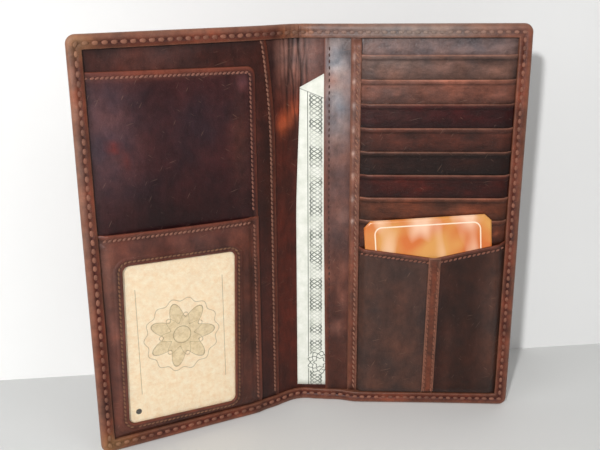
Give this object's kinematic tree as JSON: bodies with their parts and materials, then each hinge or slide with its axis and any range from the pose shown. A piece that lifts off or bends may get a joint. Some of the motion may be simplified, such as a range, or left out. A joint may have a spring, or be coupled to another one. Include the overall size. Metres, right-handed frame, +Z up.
{
  "type": "tall wallet",
  "caption": "Tall leather book-fold wallet standing open, with a row of card slots, a dipped front pocket, a long note pocket, a slip pocket and a windowed card pocket.",
  "frame": {"origin": "on the floor, under the middle of the open wallet's box", "axes": "+Z up along the folds, +X along the left cover towards the spine, -Y towards the viewer, on the inner side"},
  "size_m": [0.1972, 0.0576, 0.19],
  "materials": {
    "outer_leather": "waxed pull-up leather, worn lighter at the edges",
    "lining_leather": "thin smooth leather",
    "pocket_leather": "waxed pull-up leather with scratches",
    "slot_leather": "waxed pull-up leather, lighter on the turned edges",
    "trim_leather": "narrow stitched leather strips",
    "clear_film": "clear soft film",
    "insert_paper": "mottled cream card",
    "sample_paper": "orange coated card",
    "note_paper": "thin soft paper with a pale printed pattern"
  },
  "bodies": {
    "left_cover": {"left_outer_cover": "outer_leather", "left_lining": "lining_leather", "left_pocket_panel": "pocket_leather", "slip_pocket_panel": "pocket_leather", "window_frame": "pocket_leather", "window_pane": "clear_film"},
    "insert": {"insert_card": "insert_paper"},
    "spine": {"spine_outer": "outer_leather", "spine_lining": "lining_leather"},
    "right_cover": {"right_outer_cover": "outer_leather", "right_lining": "lining_leather", "note_pocket_panel": "pocket_leather", "card_panel": "pocket_leather", "card_panel_binding": "trim_leather", "card_slot_1": "slot_leather", "card_slot_2": "slot_leather", "card_slot_3": "slot_leather", "card_slot_4": "slot_leather", "card_slot_5": "slot_leather", "card_slot_6": "slot_leather", "card_slot_7": "slot_leather", "card_slot_8": "slot_leather", "front_pocket_left": "pocket_leather", "front_pocket_right": "pocket_leather", "front_pocket_seam_strip": "trim_leather"},
    "sample": {"sample_card": "sample_paper"},
    "note": {"paper_note": "note_paper"}
  },
  "joints": [
    {"name": "left_fold", "type": "hinge", "parent": "left_cover", "child": "spine", "pos_m": [0.00012, 0.02679, 0.095], "axis": [0, 0, -1], "range_deg": [-17.4, 72.6]},
    {"name": "right_fold", "type": "hinge", "parent": "spine", "child": "right_cover", "pos_m": [0.01348, 0.0226, 0.095], "axis": [0, 0, -1], "range_deg": [-11.9, 78.1], "deforming": ["paper_note"]},
    {"name": "insert_slide", "type": "slide", "parent": "left_cover", "child": "insert", "axis": [0, 0, 1], "range_m": [0, 0.08]},
    {"name": "sample_slide", "type": "slide", "parent": "right_cover", "child": "sample", "axis": [0, 0, 1], "range_m": [0, 0.06]},
    {"name": "note_slide", "type": "slide", "parent": "right_cover", "child": "note", "axis": [0.8721, -0.4894, 0], "range_m": [0, 0.025]}
  ]
}
